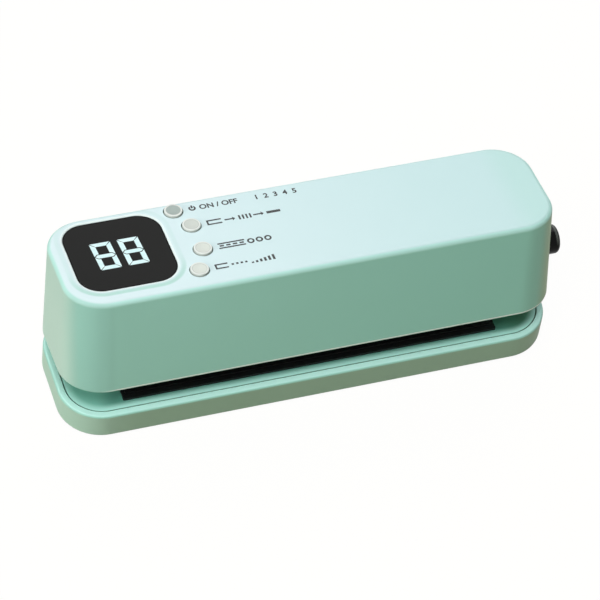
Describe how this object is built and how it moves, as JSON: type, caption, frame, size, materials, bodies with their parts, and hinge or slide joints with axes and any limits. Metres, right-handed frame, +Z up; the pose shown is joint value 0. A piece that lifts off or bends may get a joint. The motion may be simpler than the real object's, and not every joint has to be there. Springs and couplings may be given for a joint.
{
  "type": "vacuum sealer",
  "caption": "Low countertop bag sealer: long base, hinged head standing ajar over a seal pad, round keys, digit display and an end release button.",
  "frame": {"origin": "middle of the base's footprint, on the surface that the feet stand on", "axes": "+X along the length to the end with the release button, +Y to the hinged back, +Z up"},
  "size_m": [0.2421, 0.0695, 0.0801],
  "materials": {
    "mint_abs": "satin",
    "mint_inner": "satin",
    "black_silicone": "matt",
    "black_foam": "matt",
    "black_nylon": "matt",
    "black_gloss": "gloss",
    "lens_black": "gloss",
    "lit_white": "lit",
    "pearl": "satin",
    "steel": "satin",
    "tape": "woven, coated",
    "board_green": "satin",
    "chip_black": "matt",
    "cell_wrap": "film wrapped",
    "silicone_tube": "translucent satin"
  },
  "bodies": {
    "base": {"base_shell": "mint_abs", "base_deck": "mint_inner", "rubber_feet": "black_foam", "base_screws": "steel", "seal_pad": "black_silicone", "lower_gasket": "black_foam", "hinge_mounts": "black_nylon", "hinge_pins": "steel", "lid_springs": "steel"},
    "head": {"head_shell": "mint_abs", "head_floor": "mint_inner", "hinge_arms": "mint_inner", "head_screws": "steel", "heater_bar": "black_nylon", "heating_strip": "steel", "slip_tape": "tape", "upper_gasket": "black_foam", "display_lens": "lens_black", "display_digits": "lit_white", "display_module": "pearl", "display_board": "board_green", "key_board": "board_green", "key_switches": "steel", "main_board": "board_green", "board_parts": "chip_black", "charge_port": "steel", "battery_tray": "black_nylon", "battery_cells": "cell_wrap", "pump_motor": "steel", "pump_body": "black_nylon", "pump_saddle": "mint_inner", "air_nozzles": "black_nylon", "pump_hose": "silicone_tube", "vent_hose": "silicone_tube", "vent_valve": "pearl", "release_spring": "steel"},
    "power_key": {"power_key": "pearl"},
    "vacuum_key": {"vacuum_key": "pearl"},
    "seal_key": {"seal_key": "pearl"},
    "pulse_key": {"pulse_key": "pearl"},
    "pump_rotor": {"pump_rotor": "steel"},
    "release_button": {"release_button": "black_gloss"}
  },
  "joints": [
    {"name": "head_hinge", "type": "hinge", "parent": "base", "child": "head", "pos_m": [0, 0.026, 0.013], "axis": [-1, 0, 0], "range_deg": [-8.3, 26.7], "stiffness_Nm_per_rad": 1.2, "springref_deg": 5.1},
    {"name": "power_key_press", "type": "slide", "parent": "head", "child": "power_key", "axis": [0, -0.1444, -0.9895], "range_m": [0, 0.0005], "stiffness_N_per_m": 1500, "springref_m": -0.0002},
    {"name": "vacuum_key_press", "type": "slide", "parent": "head", "child": "vacuum_key", "axis": [0, -0.1444, -0.9895], "range_m": [0, 0.0005], "stiffness_N_per_m": 1500, "springref_m": -0.0002},
    {"name": "seal_key_press", "type": "slide", "parent": "head", "child": "seal_key", "axis": [0, -0.1444, -0.9895], "range_m": [0, 0.0005], "stiffness_N_per_m": 1500, "springref_m": -0.0002},
    {"name": "pulse_key_press", "type": "slide", "parent": "head", "child": "pulse_key", "axis": [0, -0.1444, -0.9895], "range_m": [0, 0.0005], "stiffness_N_per_m": 1500, "springref_m": -0.0002},
    {"name": "release_press", "type": "slide", "parent": "head", "child": "release_button", "axis": [-1, 0, 0], "range_m": [0, 0.003], "stiffness_N_per_m": 400, "springref_m": -0.001, "deforming": ["release_spring"]},
    {"name": "pump_spin", "type": "hinge", "parent": "head", "child": "pump_rotor", "pos_m": [0.06, 0.0181, 0.04194], "axis": [1, 0, 0], "continuous": true}
  ]
}
